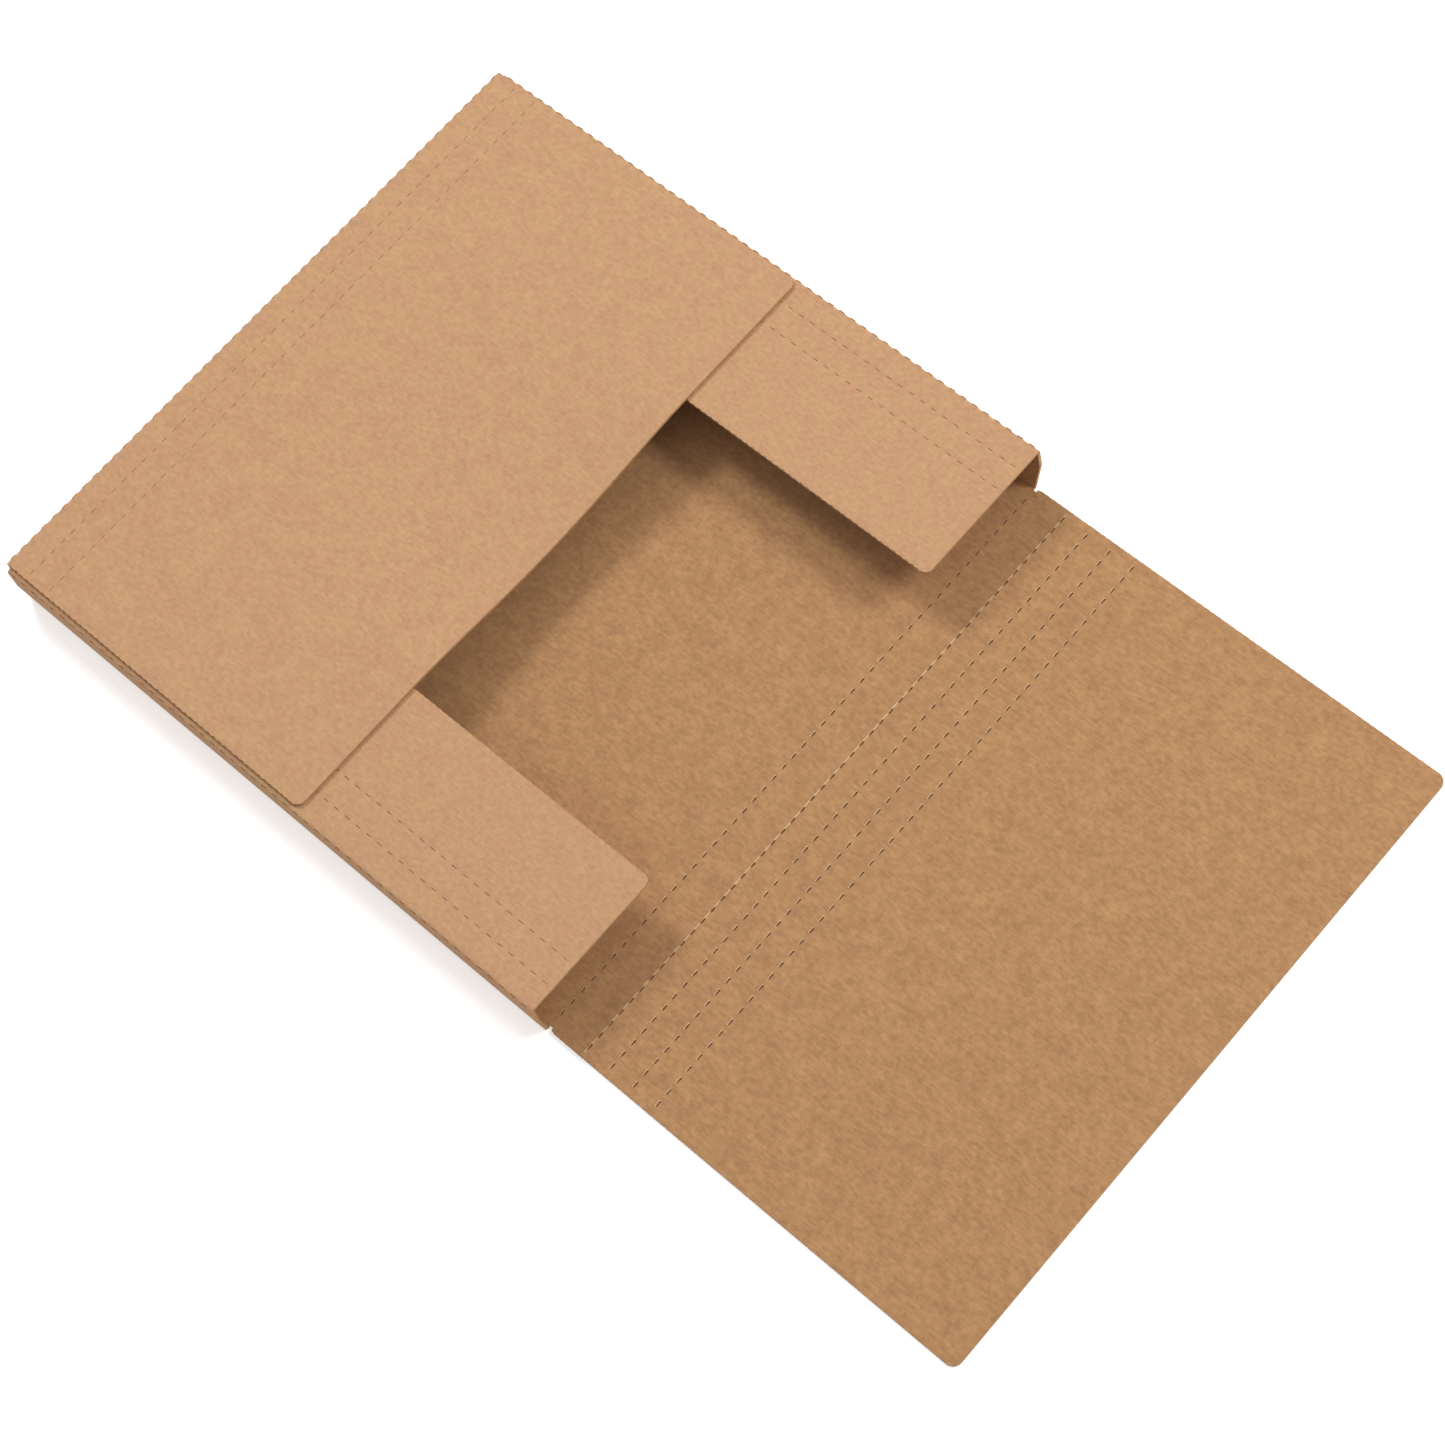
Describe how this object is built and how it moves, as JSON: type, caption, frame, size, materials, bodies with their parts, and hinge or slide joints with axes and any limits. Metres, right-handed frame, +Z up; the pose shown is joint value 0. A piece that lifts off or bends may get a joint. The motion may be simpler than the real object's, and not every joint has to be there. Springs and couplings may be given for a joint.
{
  "type": "wraparound mailer",
  "caption": "One-piece corrugated mailer for a flat square product: a tray with tuck flaps, an end flap that closes over them and an open outer panel scored to wrap at several depths.",
  "frame": {"origin": "middle of the base panel's underside", "axes": "+X from the end wall towards the open outer panel, +Z up out of the tray"},
  "size_m": [0.5411, 0.3236, 0.0305],
  "materials": {
    "inner_liner": "uncoated kraft liner, the inside face",
    "outer_liner": "uncoated kraft liner, the outside face"
  },
  "bodies": {
    "tray": {"base_tray": "inner_liner"},
    "end_wall": {"left_wall": "outer_liner"},
    "end_flap": {"left_flap": "outer_liner"},
    "closing_wall": {"outer_wall": "inner_liner"},
    "closing_flap": {"outer_flap": "inner_liner"}
  },
  "joints": [
    {"name": "left_wall_fold", "type": "hinge", "parent": "tray", "child": "end_wall", "pos_m": [-0.1611, 0, 0], "axis": [0, -1, 0], "range_deg": [0, 90]},
    {"name": "left_flap_fold", "type": "hinge", "parent": "end_wall", "child": "end_flap", "pos_m": [-0.1611, 0, 0.0305], "axis": [0, -1, 0], "range_deg": [0, 90]},
    {"name": "outer_wall_fold", "type": "hinge", "parent": "tray", "child": "closing_wall", "pos_m": [0.1611, 0, 0.0016], "axis": [0, -1, 0], "range_deg": [0, 90]},
    {"name": "outer_flap_fold", "type": "hinge", "parent": "closing_wall", "child": "closing_flap", "pos_m": [0.19285, 0, 0.0016], "axis": [0, -1, 0], "range_deg": [0, 90]}
  ]
}
